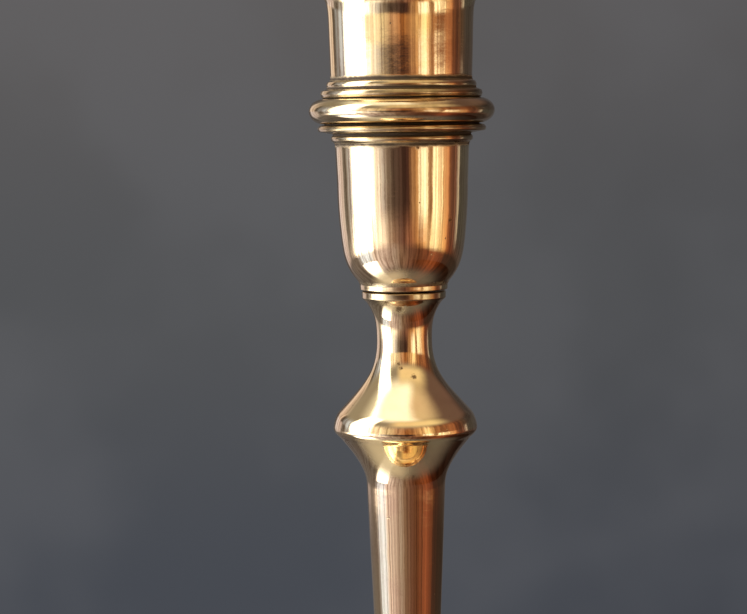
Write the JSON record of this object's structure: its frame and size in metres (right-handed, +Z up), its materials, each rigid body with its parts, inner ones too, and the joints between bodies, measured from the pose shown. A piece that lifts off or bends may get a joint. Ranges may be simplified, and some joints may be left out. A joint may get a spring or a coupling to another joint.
{
  "type": "candlestick",
  "caption": "Turned brass candlestick with an urn socket, shouldered knop, tapering stem and round domed foot; a push rod up its middle lifts out a spent candle.",
  "frame": {"origin": "centre of the foot's flat rim, on the surface the candlestick stands on", "axes": "+Z up the turning axis towards the candle; +X and +Y are any two square directions, since it is round"},
  "size_m": [0.116, 0.116, 0.248],
  "materials": {
    "polished_brass": "hand polished, with fine scratches, small casting pits and brown patina in the grooves",
    "worked_brass": "dull, as turned or filed, never polished",
    "iron": "dark drawn wire"
  },
  "bodies": {
    "candlestick": {"socket": "polished_brass", "stem": "polished_brass", "lower_knop": "polished_brass", "foot": "polished_brass", "stem_washer": "worked_brass", "stem_nut": "worked_brass", "rod_guide_bush": "worked_brass"},
    "ejector": {"ejector_disc": "worked_brass", "ejector_rod": "iron", "ejector_button": "polished_brass", "ejector_lock_nut": "worked_brass"}
  },
  "joints": [
    {"name": "ejector_slide", "type": "slide", "parent": "candlestick", "child": "ejector", "axis": [0, 0, 1], "range_m": [0, 0.0255]}
  ]
}
